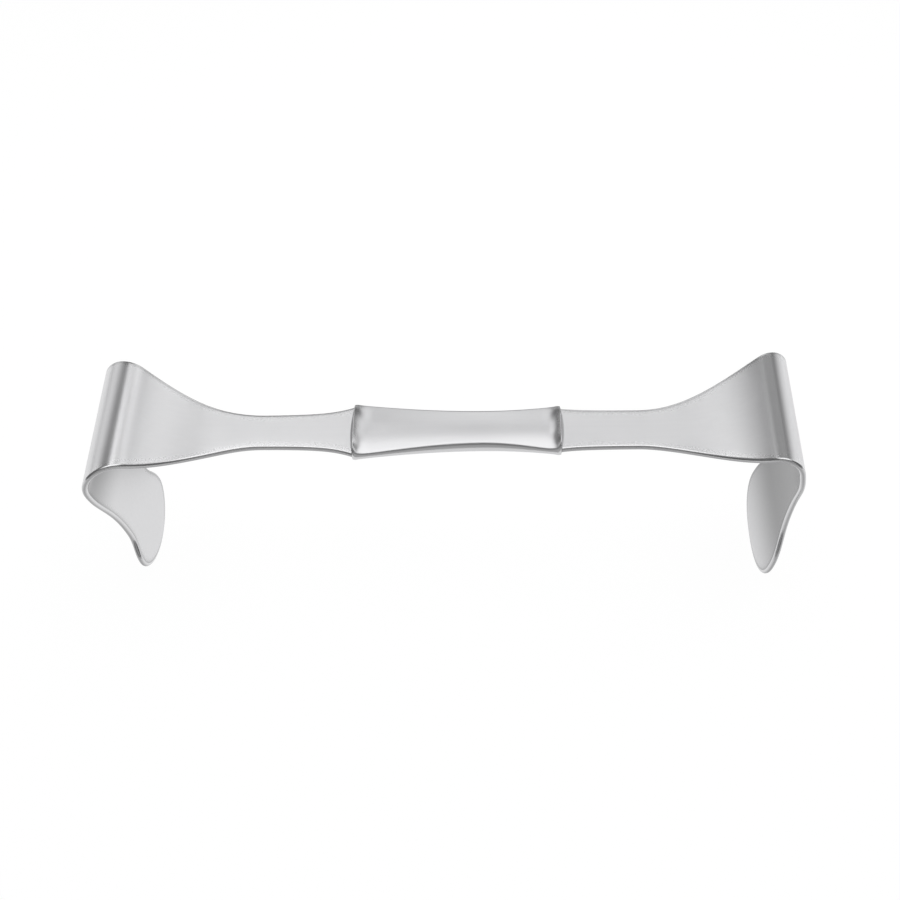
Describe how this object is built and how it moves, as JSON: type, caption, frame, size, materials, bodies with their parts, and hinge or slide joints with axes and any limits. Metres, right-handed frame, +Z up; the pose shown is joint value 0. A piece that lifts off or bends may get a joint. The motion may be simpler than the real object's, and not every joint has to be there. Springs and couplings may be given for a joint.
{
  "type": "hand-held retractor",
  "caption": "Double-ended retractor: a waisted steel grip with a flat arm each side that flares, rises and rolls over into a broad hooked blade.",
  "frame": {"origin": "centre of the bounding box at the height of the lower blade's tip, which is what the instrument stands on", "axes": "+X along the instrument from the left blade to the right one, +Y across it, +Z up, with both blades pointing down"},
  "size_m": [0.17, 0.0396, 0.0475],
  "materials": {
    "grip_steel": "satin",
    "left_blade_steel": "satin",
    "right_blade_steel": "satin"
  },
  "bodies": {
    "root": {"grip": "grip_steel", "left_blade": "left_blade_steel", "right_blade": "right_blade_steel"}
  },
  "joints": []
}
